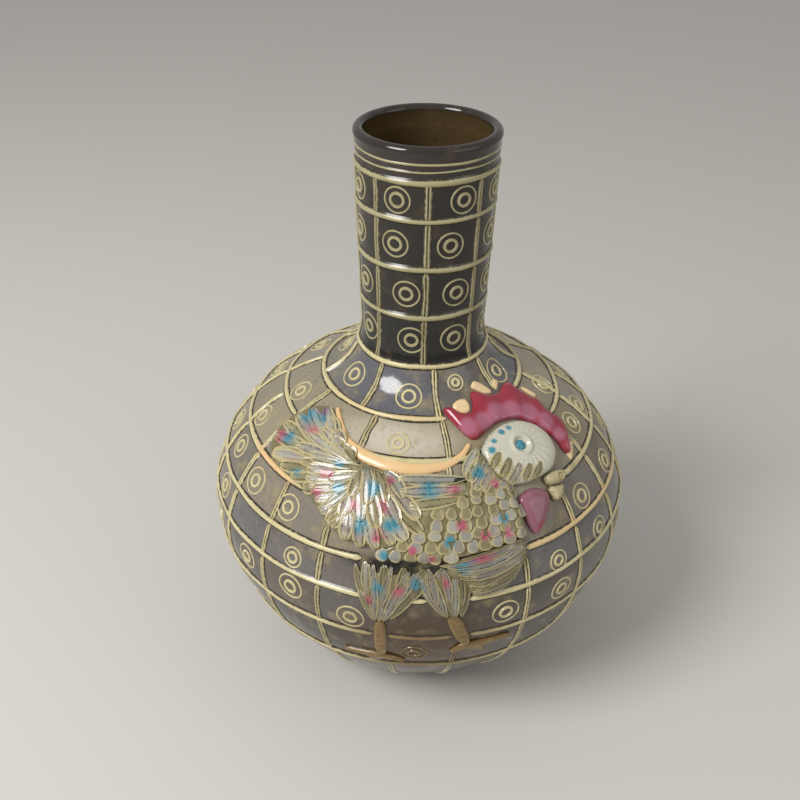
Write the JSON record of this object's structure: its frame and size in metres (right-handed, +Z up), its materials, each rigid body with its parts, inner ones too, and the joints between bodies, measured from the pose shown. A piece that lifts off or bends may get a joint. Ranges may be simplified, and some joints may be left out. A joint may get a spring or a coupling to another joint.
{
  "type": "celestial globe vase",
  "caption": "Stoneware globe vase with a round belly and a tall straight neck, slip-trailed square cells with ring motifs, and a rooster moulded in relief.",
  "frame": {"origin": "on the floor under the vase's axis", "axes": "+Z up along the vase's axis, from foot to mouth; the rooster is on the -Y side and its head is towards +X"},
  "size_m": [0.1992, 0.2001, 0.266],
  "materials": {
    "bare_stoneware": "unglazed, matt",
    "belly_glaze": "glossy grey-brown glaze",
    "dark_glaze": "glossy near-black glaze",
    "cream_slip": "cream slip under clear glaze",
    "peach_slip": "peach slip under clear glaze",
    "feather_enamel": "khaki-cream glaze with turquoise and pink enamel",
    "ochre_enamel": "ochre glaze",
    "comb_enamel": "glossy raspberry enamel",
    "turquoise_enamel": "glossy turquoise enamel"
  },
  "bodies": {
    "root": {"foot_ring": "bare_stoneware", "lower_body": "belly_glaze", "upper_body": "belly_glaze", "neck_tube": "dark_glaze", "mouth_rim": "dark_glaze", "neck_cords_1": "cream_slip", "neck_cords_2": "cream_slip", "neck_cords_3": "cream_slip", "neck_cords_4": "cream_slip", "collar_cords": "cream_slip", "belly_cords_1": "cream_slip", "belly_cords_2": "cream_slip", "belly_cords_3": "cream_slip", "belly_cords_4": "cream_slip", "belly_cords_5": "cream_slip", "belly_cords_6": "cream_slip", "belly_cords_7": "cream_slip", "tail_feathers": "feather_enamel", "saddle_feathers": "feather_enamel", "wing": "feather_enamel", "back_feathers": "feather_enamel", "breast": "feather_enamel", "hackle_feathers": "feather_enamel", "breast_fringe": "feather_enamel", "left_thigh": "feather_enamel", "right_thigh": "feather_enamel", "left_shank": "ochre_enamel", "right_shank": "ochre_enamel", "left_foot": "ochre_enamel", "right_foot": "ochre_enamel", "head": "feather_enamel", "comb": "comb_enamel", "wattle": "comb_enamel", "upper_beak": "feather_enamel", "lower_beak": "feather_enamel", "back_outline_cord": "peach_slip", "eye": "turquoise_enamel"}
  },
  "joints": []
}
